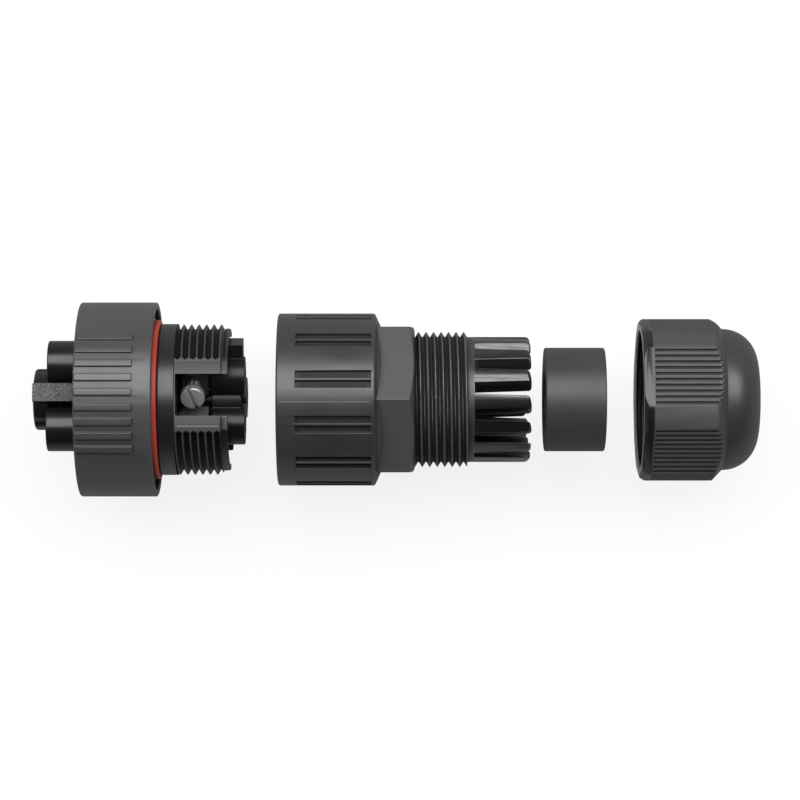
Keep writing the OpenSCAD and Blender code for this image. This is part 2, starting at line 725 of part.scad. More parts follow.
module cable_housing() {
    hex_start = 20;
    body_start = pocket_angle - 120 / pocket_count;
    hex_corner_r = hex_flat_r / cos(30);
    chamfer_rise = (hex_corner_r - hex_flat_r) / hex_chamfer + 1 / 2;
    pocket_side = (pocket_w - pocket_rib_w) / 2;
    color([0.25, 0.25, 0.26])
        difference() {
            union() {
                turned([[housing_x, 0, 0], [housing_x, housing_r, housing_round],
                        [housing_end_x, housing_r, housing_round],
                        [housing_end_x + shoulder_cone_len, hex_flat_r - mould_round, 0],
                        [housing_end_x + shoulder_cone_len, 0, 0]], body_start);
                intersection() {
                    hexagon_block(housing_end_x - weld, hex_end_x, hex_flat_r, 90);
                    turned([[housing_end_x - 2 * weld, 0, 0],
                            [housing_end_x - 2 * weld, hex_corner_r + chamfer_rise * weld, 0],
                            [hex_end_x - hex_chamfer - weld, hex_corner_r + chamfer_rise * weld, 0],
                            [hex_end_x, hex_flat_r - hex_chamfer / 2, 0], [hex_end_x, 0, 0]], hex_start);
                }
                turned([[hex_end_x - weld, 0, 0], [hex_end_x - weld, gland_thread_r, 0],
                        [gland_thread_end_x, gland_thread_r, 0], [gland_thread_end_x, finger_r, 0],
                        [fingertip_x, finger_r, finger_round], [fingertip_x, 0, 0]]);
            }
            turned([[housing_x - weld, 0, 0], [housing_x - weld, mouth_bore_r, 0],
                    [mouth_bore_end_x, mouth_bore_r, 0], [mouth_bore_end_x, housing_thread_bore_r, 0],
                    [housing_thread_end_x, housing_thread_bore_r, 0], [housing_thread_end_x, core_r, 0],
                    [housing_room_end_x, core_r, 0], [throat_x, throat_r, 0],
                    [grommet_stop_x, throat_r, 0], [grommet_stop_x, finger_bore_r, 0],
                    [fingertip_x + weld, finger_bore_r, 0], [fingertip_x + weld, 0, 0]]);
            for (i = [0:pocket_count - 1], left = [-pocket_w / 2, pocket_rib_w / 2])
                on_axis(housing_x + pocket_setback, pocket_angle + i * 360 / pocket_count)
                    translate([housing_r - pocket_depth, left, 0])
                        cube([2 * pocket_depth, pocket_side, housing_len - pocket_setback - pocket_margin]);
            for (i = [0:finger_count - 1])
                finger_slot(slot_angle + i * 360 / finger_count);
        }
}

module grommet() {
    color([0.2, 0.2, 0.2])
        turned([[grommet_x, cable_r, 2 * mould_round], [grommet_x, grommet_r, mould_round],
                [grommet_x + grommet_len, grommet_r, mould_round],
                [grommet_x + grommet_len, cable_r, 2 * mould_round]]);
}

module gland_nut() {
    dome_start_x = nut_x + dome_x;
    squeeze_x = nut_x + squeeze_start;
    cone_run = nut_cone_len / (nut_panel_r - dome_r);
    color([0.27, 0.27, 0.28])
        difference() {
            union() {
                intersection() {
                    hexagon_block(nut_x - weld, dome_start_x + weld, nut_panel_r, nut_angle + 30);
                    difference() {
                        hexagon_block(nut_x, dome_start_x, nut_flat_r, nut_angle);
                        for (f = [0:5], k = [0:groove_count - 1])
                            on_axis(nut_x + nut_collar_len, nut_angle + f * 60)
                                translate([nut_flat_r - groove_depth,
                                           (k - (groove_count - 1) / 2) * groove_pitch - groove_w / 2, 0])
                                    cube([2 * groove_depth, groove_w, nut_len]);
                    }
                    turned([[nut_x, 0, 0], [nut_x, nut_panel_r - nut_chamfer, 0],
                            [nut_x + nut_chamfer + weld, nut_panel_r + weld, 0],
                            [nut_x + nut_grip_end - cone_run * weld, nut_panel_r + weld, 0],
                            [dome_start_x, dome_r, 0], [dome_start_x, 0, 0]]);
                }
                turned([[dome_start_x - weld, 0, 0], [dome_start_x - weld, dome_r, 0],
                        [nut_x + nut_len, dome_r, dome_round], [nut_x + nut_len, 0, 0]]);
            }
            turned([[nut_x - weld, 0, 0], [nut_x - weld, nut_bore_r, 0],
                    [nut_x + nut_thread_len, nut_bore_r, 0], [nut_x + nut_thread_len, nut_relief_r, 0],
                    [squeeze_x, nut_relief_r, 0], [squeeze_x + squeeze_drop, nut_exit_r, 0],
                    [nut_x + nut_len + weld, nut_exit_r, 0], [nut_x + nut_len + weld, 0, 0]]);
        }
}

socket_insert();
terminal_carrier();
contact_1();
contact_2();
contact_3();
clamp_cage_1();
clamp_cage_2();
clamp_cage_3();
terminal_screw_1();
terminal_screw_2();
terminal_screw_3();
tail_body();
snap_ring();
mating_seal();
housing_seal();
coupling_ring();
cable_housing();
grommet();
gland_nut();
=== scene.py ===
# Waterproof cable socket, taken apart along its axis, from the mating side to the cable.
# Lengths are in metres. Angles round the axis run from +Z, which faces the camera, towards -Y.
import json
import math

import bmesh
import bpy
from mathutils import Matrix, Vector


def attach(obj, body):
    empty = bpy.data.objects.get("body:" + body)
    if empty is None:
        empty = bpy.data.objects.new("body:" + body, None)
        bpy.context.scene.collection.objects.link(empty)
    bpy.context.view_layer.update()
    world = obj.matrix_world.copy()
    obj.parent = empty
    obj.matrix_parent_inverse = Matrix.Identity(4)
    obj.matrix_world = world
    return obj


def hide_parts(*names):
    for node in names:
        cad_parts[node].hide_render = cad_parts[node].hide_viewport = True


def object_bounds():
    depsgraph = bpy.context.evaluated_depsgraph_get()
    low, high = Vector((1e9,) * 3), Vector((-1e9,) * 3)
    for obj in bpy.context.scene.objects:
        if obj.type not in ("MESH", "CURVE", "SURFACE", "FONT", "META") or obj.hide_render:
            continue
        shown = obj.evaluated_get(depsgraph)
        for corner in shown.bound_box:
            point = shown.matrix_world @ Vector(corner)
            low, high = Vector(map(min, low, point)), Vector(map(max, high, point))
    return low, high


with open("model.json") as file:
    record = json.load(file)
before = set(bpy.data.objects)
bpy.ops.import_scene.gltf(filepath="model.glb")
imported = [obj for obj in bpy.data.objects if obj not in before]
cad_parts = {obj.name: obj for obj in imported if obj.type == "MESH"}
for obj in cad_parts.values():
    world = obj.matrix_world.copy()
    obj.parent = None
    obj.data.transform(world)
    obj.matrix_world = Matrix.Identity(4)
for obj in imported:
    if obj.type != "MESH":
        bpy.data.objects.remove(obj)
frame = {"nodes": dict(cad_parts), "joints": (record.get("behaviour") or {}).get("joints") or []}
cad_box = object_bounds()


# Socket insert: hub, three contact barrels and polarising key, moulded in one shot of glossy black plastic.
# Its flange sits behind the neck of the tail body, and the crown of the key keeps the tool's rough skin.
def soft_edged(node, edge):
    """Copy of a solid whose sharp edges have a small radius, as a mould leaves them."""
    mesh = frame["nodes"][node].data.copy()
    mesh.materials.clear()
    form = bmesh.new()
    form.from_mesh(mesh)
    bmesh.ops.remove_doubles(form, verts=form.verts, dist=2e-6)
    bmesh.ops.dissolve_limit(form, angle_limit=math.radians(0.2), verts=form.verts, edges=form.edges)
    form.to_mesh(mesh)
    form.free()
    piece = bpy.data.objects.new(node + "_finish", mesh)
    bpy.context.scene.collection.objects.link(piece)
    rounding = piece.modifiers.new("edge", "BEVEL")
    rounding.width = edge
    rounding.segments = 2
    rounding.limit_method = "ANGLE"
    rounding.angle_limit = math.radians(35)
    rounding.use_clamp_overlap = False
    rounding.loop_slide = False
    settle(piece)
    return piece


def settle(piece):
    """Makes a piece plain mesh, smooth but for its edges, with broad faces shaded true."""
    take_shape(piece)
    piece.data.shade_smooth()
    piece.data.set_sharp_from_angle(angle=math.radians(32))
    weighting = piece.modifiers.new("broad faces", "WEIGHTED_NORMAL")
    weighting.keep_sharp = True
    take_shape(piece)


def take_shape(piece):
    """Replaces a piece's mesh by what its modifiers make of it."""
    depsgraph = bpy.context.evaluated_depsgraph_get()
    mesh = bpy.data.meshes.new_from_object(piece.evaluated_get(depsgraph))
    piece.modifiers.clear()
    piece.data = mesh


def place(tree, kind, inputs, **settings):
    """Adds a node. An input that is given a socket is linked to it, and any other value is set."""
    node = tree.nodes.new(kind)
    for name, value in settings.items():
        setattr(node, name, value)
    for key, value in inputs.items():
        if isinstance(value, bpy.types.NodeSocket):
            tree.links.new(value, node.inputs[key])
        else:
            node.inputs[key].default_value = value
    return node


def maths(tree, operation, *values):
    """Result of a Math node for values and sockets."""
    return place(tree, "ShaderNodeMath", dict(enumerate(values)), operation=operation).outputs[0]


def object_point(tree):
    """Place on the piece, in Object coordinates."""
    return place(tree, "ShaderNodeTexCoord", {}).outputs["Object"]


def node_group(name, kind, inputs, outputs):
    """A new node group with named sockets, and its input and output nodes."""
    tree = bpy.data.node_groups.new(name, kind)
    for label, socket_type in inputs.items():
        tree.interface.new_socket(name=label, in_out="INPUT", socket_type=socket_type)
    for label, socket_type in outputs.items():
        tree.interface.new_socket(name=label, in_out="OUTPUT", socket_type=socket_type)
    return tree, tree.nodes.new("NodeGroupInput"), tree.nodes.new("NodeGroupOutput")


def moulding_grain():
    """Skin of a moulded piece: a fine grain of a given size, and a broad uneven sheen."""
    tree, given, result = node_group("moulding_grain", "ShaderNodeTree",
                                     {"Grain Size": "NodeSocketFloat", "Sheen Size": "NodeSocketFloat"},
                                     {"Grain": "NodeSocketFloat", "Sheen": "NodeSocketFloat"})
    where = object_point(tree)
    for size, output, detail in (("Grain Size", "Grain", 3.0), ("Sheen Size", "Sheen", 4.0)):
        scale = maths(tree, "DIVIDE", 1.0, given.outputs[size])
        noise = place(tree, "ShaderNodeTexNoise", {"Vector": where, "Scale": scale, "Detail": detail})
        tree.links.new(noise.outputs["Fac"], result.inputs[output])
    return tree


def rubbed_edge():
    """Mask of the edges, from how far the rounded normal turns. They are painted paler, partly as wear from
    handling and partly as a painted highlight.
    """
    tree, given, result = node_group("rubbed_edge", "ShaderNodeTree", {"Width": "NodeSocketFloat"},
                                     {"Edge": "NodeSocketFloat"})
    rounded = place(tree, "ShaderNodeBevel", {"Radius": given.outputs["Width"]}, samples=6)
    plain = place(tree, "ShaderNodeNewGeometry", {})
    turn = place(tree, "ShaderNodeVectorMath", {0: rounded.outputs[0], 1: plain.outputs["Normal"]},
                 operation="DOT_PRODUCT")
    flat, rounded_off = 0.995, 0.8
    mask = place(tree, "ShaderNodeMapRange", {"Value": turn.outputs["Value"], "From Min": flat,
                                              "From Max": rounded_off})
    tree.links.new(mask.outputs[0], result.inputs["Edge"])
    return tree


def deep_cavity():
    """Mask of grooves and corners that light reaches badly, where shade is painted into the colour."""
    tree, given, result = node_group("deep_cavity", "ShaderNodeTree", {"Reach": "NodeSocketFloat"},
                                     {"Cavity": "NodeSocketFloat"})
    open_sky = place(tree, "ShaderNodeAmbientOcclusion", {"Distance": given.outputs["Reach"]}, samples=5,
                     only_local=True)
    open_share, deep_share = 0.92, 0.55
    mask = place(tree, "ShaderNodeMapRange", {"Value": open_sky.outputs["AO"], "From Min": open_share,
                                              "From Max": deep_share})
    tree.links.new(mask.outputs[0], result.inputs["Cavity"])
    return tree


GRAIN = moulding_grain()
GRAIN_LOW, GRAIN_HIGH = 0.3, 0.7
WORN_LIT_EDGE = rubbed_edge()
CAVITY = deep_cavity()


def spread(tree, value, low, high, least, most):
    """Value that goes from one level to another while what it follows goes from low to high."""
    return place(tree, "ShaderNodeMapRange", {"Value": value, "From Min": low, "From Max": high, "To Min": least,
                                              "To Max": most}).outputs[0]


def band(tree, value, low, high):
    """Mask that rises from 0 at the low value to 1 at the high one."""
    return place(tree, "ShaderNodeMapRange", {"Value": value, "From Min": low, "From Max": high},
                 interpolation_type="SMOOTHSTEP").outputs[0]


def both(tree, first, second):
    """Mask of the places that two masks share."""
    return maths(tree, "MULTIPLY", first, second)


def either(tree, first, second):
    """Mask of the places that one of two masks has, or both."""
    return maths(tree, "MAXIMUM", first, second)


def blend(tree, factor, first, second):
    """Blend of two values by a mask."""
    return place(tree, "ShaderNodeMix", {"Factor": factor, "A": first, "B": second}).outputs["Result"]


def mixed(tree, factor, first, second):
    """Blend of two colours by a mask."""
    return place(tree, "ShaderNodeMix", {"Factor": factor, "A": first, "B": second},
                 data_type="RGBA").outputs["Result"]


def plastic(name, colour, pale, roughness, grain_size, grain_depth, specular=0.5, edge_wear_and_highlight=0.45, groove=0.45,
            zone=None):
    """Moulded plastic or rubber: dark skin, paler where the sheen is uneven; edges are paler, part wear, part
    painted highlight.

    Its grooves get painted shade, and a roughness of their own. A zone gives the mask, colour, roughness,
    relief and polish of places with a skin of their own.
    """
    material = bpy.data.materials.new(name)
    material.use_nodes = True
    tree = material.node_tree
    shader = tree.nodes["Principled BSDF"]
    shader.inputs["Specular IOR Level"].default_value = specular
    sheen_share, gloss_change, groove_shade = 0.2, 0.05, 0.1
    skin = place(tree, "ShaderNodeGroup", {"Grain Size": grain_size, "Sheen Size": 0.009}, node_tree=GRAIN).outputs
    edge = place(tree, "ShaderNodeGroup", {"Width": 0.00022}, node_tree=WORN_LIT_EDGE).outputs["Edge"]
    cavity = place(tree, "ShaderNodeGroup", {"Reach": 0.0012}, node_tree=CAVITY).outputs["Cavity"]
    body = mixed(tree, maths(tree, "MULTIPLY", skin["Sheen"], sheen_share), (*colour, 1), (*pale, 1))
    gloss = spread(tree, skin["Sheen"], GRAIN_LOW, GRAIN_HIGH, roughness - gloss_change, roughness + gloss_change)
    height = maths(tree, "MULTIPLY", skin["Grain"], grain_depth)
    if zone:
        mask, zone_colour, zone_roughness, relief, polish = zone(tree)
        body = mixed(tree, mask, body, zone_colour)
        gloss = blend(tree, mask, gloss, zone_roughness)
        height = maths(tree, "ADD", height, relief)
        if polish:
            tree.links.new(polish, shader.inputs["Coat Weight"])
            shader.inputs["Coat IOR"].default_value = 1.7
            shader.inputs["Coat Roughness"].default_value = 0.1
    # Edges painted paler: partly wear, partly a painted highlight where the edges catch the light.
    tint = mixed(tree, maths(tree, "MULTIPLY", edge, edge_wear_and_highlight), body, (*pale, 1))
    # Painted shade in the grooves.
    shaded = mixed(tree, cavity, tint, (*[groove_shade * c for c in colour], 1))
    tree.links.new(shaded, shader.inputs["Base Color"])
    tree.links.new(blend(tree, cavity, gloss, groove), shader.inputs["Roughness"])
    skin_relief = place(tree, "ShaderNodeBump", {"Height": height, "Distance": 1.0, "Strength": 1.0})
    tree.links.new(skin_relief.outputs[0], shader.inputs["Normal"])
    return material


def along_and_across(tree, angle):
    """Object coordinates turned round the axis: along it, then across and out at the given angle."""
    turned = place(tree, "ShaderNodeMapping", {"Vector": object_point(tree), "Rotation": (-angle, 0.0, 0.0)})
    return place(tree, "ShaderNodeSeparateXYZ", {0: turned.outputs[0]}).outputs


def key_crown(tree):
    """The crown of the polarising key, speckled and rough from the tool."""
    key_angle, pit_depth, roughness = math.radians(-9.5), 0.00009, 0.7
    pit, speckle = (0.03, 0.03, 0.031, 1), (0.22, 0.22, 0.22, 1)
    xyz = along_and_across(tree, key_angle)
    speck = place(tree, "ShaderNodeTexNoise", {"Vector": object_point(tree), "Scale": 3600.0, "Detail": 3.0,
                                               "Roughness": 0.7}).outputs["Fac"]
    high = band(tree, xyz["Z"], 0.0084, 0.0087)
    inside = band(tree, maths(tree, "ABSOLUTE", xyz["Y"]), 0.0019, 0.0017)
    front = band(tree, xyz["X"], 0.002, 0.001)
    mask = both(tree, both(tree, high, inside), front)
    colour = mixed(tree, band(tree, speck, 0.4, 0.62), pit, speckle)
    relief = maths(tree, "MULTIPLY", both(tree, speck, mask), pit_depth)
    return mask, colour, roughness, relief, None


def finish(piece, node, body, material):
    """Gives a piece its material and lets it stand for the solid of a body."""
    piece.data.materials.clear()
    piece.data.materials.append(material)
    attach(piece, body)
    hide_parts(node)


gloss_black = plastic("gloss_black_plastic", colour=(0.006, 0.006, 0.0065), pale=(0.035, 0.035, 0.037),
                      roughness=0.27, grain_size=0.0004, grain_depth=0.000003, specular=0.8, zone=key_crown)
insert = soft_edged("socket_insert", edge=0.00022)
finish(insert, "socket_insert", "socket", gloss_black)


# Terminal carrier: disc, post and three wire guides, moulded in one piece of deep black plastic.
# It clips on behind the insert and holds the contacts in place.
deep_black = plastic("deep_black_plastic", colour=(0.005, 0.005, 0.0055), pale=(0.03, 0.03, 0.032),
                     roughness=0.28, grain_size=0.0003, grain_depth=0.000005)
carrier = soft_edged("terminal_carrier", edge=0.00015)
finish(carrier, "terminal_carrier", "socket", deep_black)


# Contacts and clamp cages: slit brass tubes with a tongue, and folded nickel-plated cages round the tongues.
# They are pressed into the carrier, one set for each pin.
def metal(name, colour, metallic, roughness, streak_size, streak_depth, reach=0.0005):
    """Bare or plated metal with a fine grain and painted shade in its grooves. A dull plating is less metallic."""
    material = bpy.data.materials.new(name)
    material.use_nodes = True
    tree = material.node_tree
    shader = tree.nodes["Principled BSDF"]
    shader.inputs["Metallic"].default_value = metallic
    dull_shade, groove_shade, gloss_change = 0.8, 0.12, 0.04
    skin = place(tree, "ShaderNodeGroup", {"Grain Size": streak_size, "Sheen Size": 0.002}, node_tree=GRAIN).outputs
    cavity = place(tree, "ShaderNodeGroup", {"Reach": reach}, node_tree=CAVITY).outputs["Cavity"]
    tint = mixed(tree, skin["Sheen"], (*[dull_shade * c for c in colour], 1), (*colour, 1))
    # Painted shade in the grooves and the slot.
    shade_in_grooves = mixed(tree, cavity, tint, (*[groove_shade * c for c in colour], 1))
    tree.links.new(shade_in_grooves, shader.inputs["Base Color"])
    gloss = spread(tree, skin["Grain"], GRAIN_LOW, GRAIN_HIGH, roughness - gloss_change, roughness + gloss_change)
    tree.links.new(gloss, shader.inputs["Roughness"])
    streaks = place(tree, "ShaderNodeBump", {"Height": skin["Grain"], "Distance": streak_depth, "Strength": 1.0})
    tree.links.new(streaks.outputs[0], shader.inputs["Normal"])
    return material


def dress(node, material):
    """Puts a material on a solid that shows as it is."""
    slots = frame["nodes"][node].data.materials
    slots.clear()
    slots.append(material)


brass = metal("turned_brass", colour=(0.62, 0.46, 0.22), metallic=1.0, roughness=0.32, streak_size=0.0003,
              streak_depth=0.000002)
plated_steel = metal("nickel_plated_steel", colour=(0.17, 0.17, 0.165), metallic=0.7, roughness=0.45,
                     streak_size=0.0002, streak_depth=0.000003)
for number in (1, 2, 3):
    dress(f"contact_{number}", brass)
    dress(f"clamp_cage_{number}", plated_steel)


# Terminal screws: slotted cheese-head screws of nickel-plated steel with a rolled thread, backed out for wiring.
# Each runs in the roof of its cage and presses the wire on the tongue.
def helical_groove():
    """Tree of a cutter that winds a groove round the X axis and lifts out of the way at plain lands."""
    sizes = {"Steps": "NodeSocketInt", "Turns": "NodeSocketFloat", "Pitch": "NodeSocketFloat",
             "Start": "NodeSocketFloat", "Radius": "NodeSocketFloat", "Depth": "NodeSocketFloat",
             "Inner Width": "NodeSocketFloat", "Outer Width": "NodeSocketFloat", "Lift": "NodeSocketFloat",
             "Land Pitch": "NodeSocketFloat", "Land Centre": "NodeSocketFloat", "Land Half": "NodeSocketFloat",
             "Back Trim": "NodeSocketFloat", "Material": "NodeSocketMaterial"}
    tree, given, result = node_group("helical_groove", "GeometryNodeTree", sizes, {"Groove": "NodeSocketGeometry"})
    size = given.outputs
    height = maths(tree, "MULTIPLY", size["Turns"], size["Pitch"])
    path = place(tree, "GeometryNodeCurveSpiral",
                 {"Resolution": size["Steps"], "Rotations": size["Turns"], "Start Radius": size["Radius"],
                  "End Radius": size["Radius"], "Height": height, "Reverse": True})
    upright = place(tree, "GeometryNodeSetCurveNormal", {"Curve": path.outputs[0]}, mode="Z_UP")
    section = place(tree, "GeometryNodeCurvePrimitiveQuadrilateral",
                    {"Bottom Width": size["Inner Width"], "Top Width": size["Outer Width"], "Offset": 0.0,
                     "Height": size["Depth"]}, mode="TRAPEZOID")
    turned = place(tree, "GeometryNodeTransform", {"Geometry": section.outputs[0],
                                                   "Rotation": (0.0, 0.0, math.radians(-90))})
    swept = place(tree, "GeometryNodeCurveToMesh", {"Curve": upright.outputs[0],
                                                    "Profile Curve": turned.outputs[0], "Fill Caps": True})
    start = place(tree, "ShaderNodeCombineXYZ", {"X": size["Start"]})
    laid = place(tree, "GeometryNodeTransform", {"Geometry": swept.outputs[0], "Translation": start.outputs[0],
                                                 "Rotation": (0.0, math.radians(90), 0.0)})
    point = place(tree, "GeometryNodeInputPosition", {}).outputs[0]
    xyz = place(tree, "ShaderNodeSeparateXYZ", {0: point}).outputs
    angle = maths(tree, "ARCTAN2", maths(tree, "MULTIPLY", xyz["Y"], -1.0), xyz["Z"])
    turn = maths(tree, "SUBTRACT", angle, size["Land Centre"])
    half_pitch = maths(tree, "MULTIPLY", size["Land Pitch"], 0.5)
    near = maths(tree, "WRAP", turn, half_pitch, maths(tree, "MULTIPLY", half_pitch, -1.0))
    behind = maths(tree, "GREATER_THAN", maths(tree, "ABSOLUTE", turn), half_pitch)
    half = maths(tree, "SUBTRACT", size["Land Half"], maths(tree, "MULTIPLY", behind, size["Back Trim"]))
    run_out = math.radians(5)
    on_land = band(tree, maths(tree, "ABSOLUTE", near), maths(tree, "ADD", half, run_out), half)
    lift = maths(tree, "MULTIPLY", on_land, size["Lift"])
    radial = place(tree, "ShaderNodeVectorMath", {0: point, 1: (0.0, 1.0, 1.0)}, operation="MULTIPLY")
    outward = place(tree, "ShaderNodeVectorMath", {0: radial.outputs[0]}, operation="NORMALIZE")
    offset = place(tree, "ShaderNodeVectorMath", {0: outward.outputs[0], "Scale": lift}, operation="SCALE")
    lifted = place(tree, "GeometryNodeSetPosition", {"Geometry": laid.outputs[0], "Offset": offset.outputs[0]})
    real = place(tree, "GeometryNodeRealizeInstances", {"Geometry": lifted.outputs[0]})
    painted = place(tree, "GeometryNodeSetMaterial", {"Geometry": real.outputs[0], "Material": size["Material"]})
    tree.links.new(painted.outputs[0], result.inputs["Groove"])
    return tree


def wound(tree, name, sizes):
    """A new piece made by a tree of Geometry Nodes, with the inputs that are given by name."""
    piece = bpy.data.objects.new(name, bpy.data.meshes.new(name))
    bpy.context.scene.collection.objects.link(piece)
    modifier = piece.modifiers.new("shape", "NODES")
    modifier.node_group = tree
    for item in tree.interface.items_tree:
        label = item.name.replace(" ", "_").lower()
        if item.in_out == "INPUT" and label in sizes:
            modifier[item.identifier] = sizes[label]
    settle(piece)
    return piece


GROOVE = helical_groove()


def cut_thread(piece, material, first, last, inner, outer, inner_width, outer_width, pitch, phase=0.0, steps=96,
               lift=0.0, land_pitch=math.radians(360), land_centre=0.0, land_half=-1.0, back_trim=0.0, axis=None):
    """Cuts a helical groove between two stations of the axis. It is clipped there, as a die stops at a shoulder."""
    start = first - pitch - (first - phase) % pitch
    turns = math.ceil((last - start) / pitch) + 1
    cutter = wound(GROOVE, piece.name + "_cutter", {
        "steps": steps, "turns": float(turns), "pitch": pitch, "start": start, "radius": (inner + outer) / 2,
        "depth": outer - inner, "inner_width": inner_width, "outer_width": outer_width, "lift": lift,
        "land_pitch": land_pitch, "land_centre": land_centre, "land_half": land_half, "back_trim": back_trim,
        "material": material})
    form = bmesh.new()
    form.from_mesh(cutter.data)
    for station, side in ((first, 1.0), (last, -1.0)):
        clipped = bmesh.ops.bisect_plane(form, geom=form.verts[:] + form.edges[:] + form.faces[:], dist=1e-8,
                                         plane_co=(station, 0.0, 0.0), plane_no=(side, 0.0, 0.0), clear_inner=True)
        rim = [part for part in clipped["geom_cut"] if isinstance(part, bmesh.types.BMEdge)]
        bmesh.ops.triangle_fill(form, edges=rim, use_beauty=True, use_dissolve=False)
    bmesh.ops.recalc_face_normals(form, faces=form.faces)
    form.to_mesh(cutter.data)
    form.free()
    if axis:
        cutter.matrix_world = axis
    cut = piece.modifiers.new("thread", "BOOLEAN")
    cut.object = cutter
    cut.operation = "DIFFERENCE"
    cut.solver = "MANIFOLD"
    settle(piece)
    bpy.data.objects.remove(cutter)


bright_nickel = metal("bright_nickel", colour=(0.85, 0.85, 0.83), metallic=0.65, roughness=0.27,
                      streak_size=0.00012, streak_depth=0.0000004, reach=0.0003)
for joint in frame["joints"]:
    if joint["child"].startswith("screw"):
        node = "terminal_" + joint["child"]
        screw = soft_edged(node, edge=0.00012)
        lean = Vector(joint["axis"]).to_track_quat("X", "Z").to_matrix().to_4x4()
        cut_thread(screw, bright_nickel, first=-0.0061, last=-0.001, inner=0.00105, outer=0.00146,
                   inner_width=0.0001, outer_width=0.0006, pitch=0.00065, steps=32,
                   axis=Matrix.Translation(joint["pos_m"]) @ lean)
        finish(screw, node, joint["child"], bright_nickel)


# Tail body: neck, shoulder, seal groove and threaded tail with three screwdriver windows, in satin black.
# The thread is moulded up to the windows. The front window has a plain land on each side, one with a low bead.
window_angle = math.radians(-3.7)
window_pitch = math.radians(120)
land_half = math.radians(24.5)


def around_axis(tree):
    """X and the distance from the axis, in Object coordinates."""
    where = object_point(tree)
    across = place(tree, "ShaderNodeVectorMath", {0: where, 1: (0.0, 1.0, 1.0)}, operation="MULTIPLY")
    radius = place(tree, "ShaderNodeVectorMath", {0: across.outputs[0]}, operation="LENGTH")
    return place(tree, "ShaderNodeSeparateXYZ", {0: where}).outputs["X"], radius.outputs["Value"]


def between(tree, value, low, high):
    """Mask of the values between two limits."""
    blur = 0.0002
    return both(tree, band(tree, value, low, low + blur), band(tree, value, high + blur, high))


def crest_highlights_and_lands(tree):
    """Lands and crests of the tail's thread: paler, rougher lands, the lower land painted much paler as painted
    light, and painted highlights along the crests.
    """
    thread_start, thread_end, tail_end = 0.0193, 0.0283, 0.0299
    upper_land, lit_lower_land, tail_crest_highlight = (0.04, 0.04, 0.042, 1), (0.12, 0.12, 0.123, 1), (0.085, 0.085, 0.087, 1)
    roughness, relief = 0.52, 0.0
    along, radius = around_axis(tree)
    # Painted highlight along the thread's crests.
    crest_highlights = both(tree, between(tree, along, thread_start, thread_end), band(tree, radius, 0.01475, 0.01495))
    across = along_and_across(tree, window_angle)["Y"]
    beside = band(tree, maths(tree, "ABSOLUTE", across), 0.0068, 0.0066)
    tail_skin = both(tree, between(tree, along, thread_start, tail_end), band(tree, radius, 0.0138, 0.0141))
    lands = both(tree, tail_skin, beside)
    # The lower land is painted paler than the upper one, as painted light.
    land = mixed(tree, band(tree, across, 0.001, -0.001), upper_land, lit_lower_land)
    colour = mixed(tree, lands, tail_crest_highlight, land)
    return either(tree, crest_highlights, lands), colour, roughness, relief, None


satin_black = plastic("satin_black_plastic", colour=(0.008, 0.008, 0.0085), pale=(0.06, 0.06, 0.063),
                      roughness=0.33, grain_size=0.0003, grain_depth=0.000004, specular=1.0, zone=crest_highlights_and_lands)
male_form = {"pitch": 0.0015, "inner_width": 0.00018, "outer_width": 0.00147}
tail = soft_edged("tail_body", edge=0.00012)
cut_thread(tail, satin_black, first=0.019302, last=0.0289, inner=0.01402, outer=0.01508, phase=0.019335,
           lift=0.0024, land_pitch=window_pitch, land_centre=window_angle, land_half=land_half,
           back_trim=math.radians(14), **male_form)
finish(tail, "tail_body", "socket", satin_black)


def low_bead():
    """Tree of a low bead along the axis with rounded ends."""
    sizes = {"Angle": "NodeSocketFloat", "Radius": "NodeSocketFloat", "Start": "NodeSocketFloat",
             "End": "NodeSocketFloat", "Thickness": "NodeSocketFloat", "Material": "NodeSocketMaterial"}
    tree, given, result = node_group("low_bead", "GeometryNodeTree", sizes, {"Bead": "NodeSocketGeometry"})
    size = given.outputs
    near_end = place(tree, "ShaderNodeCombineXYZ", {"X": size["Start"], "Z": size["Radius"]})
    far_end = place(tree, "ShaderNodeCombineXYZ", {"X": size["End"], "Z": size["Radius"]})
    line = place(tree, "GeometryNodeCurvePrimitiveLine", {"Start": near_end.outputs[0], "End": far_end.outputs[0]})
    path = place(tree, "GeometryNodeResampleCurve", {"Curve": line.outputs[0], "Count": 40})
    way = place(tree, "GeometryNodeSplineParameter", {})
    from_middle = maths(tree, "ABSOLUTE", maths(tree, "MULTIPLY_ADD", way.outputs["Factor"], 2.0, -1.0))
    full_from, tip_share = 0.93, 0.3
    swell = place(tree, "ShaderNodeMapRange", {"Value": from_middle, "From Min": 1.0, "From Max": full_from,
                                               "To Min": tip_share, "To Max": 1.0}, interpolation_type="SMOOTHSTEP")
    round_bar = place(tree, "GeometryNodeCurvePrimitiveCircle", {"Resolution": 20, "Radius": size["Thickness"]})
    bar = place(tree, "GeometryNodeCurveToMesh", {"Curve": path.outputs[0], "Profile Curve": round_bar.outputs[0],
                                                  "Scale": swell.outputs[0], "Fill Caps": True})
    turned = place(tree, "ShaderNodeCombineXYZ", {"X": size["Angle"]})
    laid = place(tree, "GeometryNodeTransform", {"Geometry": bar.outputs[0], "Rotation": turned.outputs[0]})
    real = place(tree, "GeometryNodeRealizeInstances", {"Geometry": laid.outputs[0]})
    painted = place(tree, "GeometryNodeSetMaterial", {"Geometry": real.outputs[0], "Material": size["Material"]})
    tree.links.new(painted.outputs[0], result.inputs["Bead"])
    return tree


BEAD = low_bead()
beside_land = math.radians(0.2)
bead = wound(BEAD, "land_bead", {"angle": window_angle + land_half + beside_land, "radius": 0.01487,
                                 "start": 0.0196, "end": 0.0283, "thickness": 0.0003, "material": satin_black})
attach(bead, "socket")


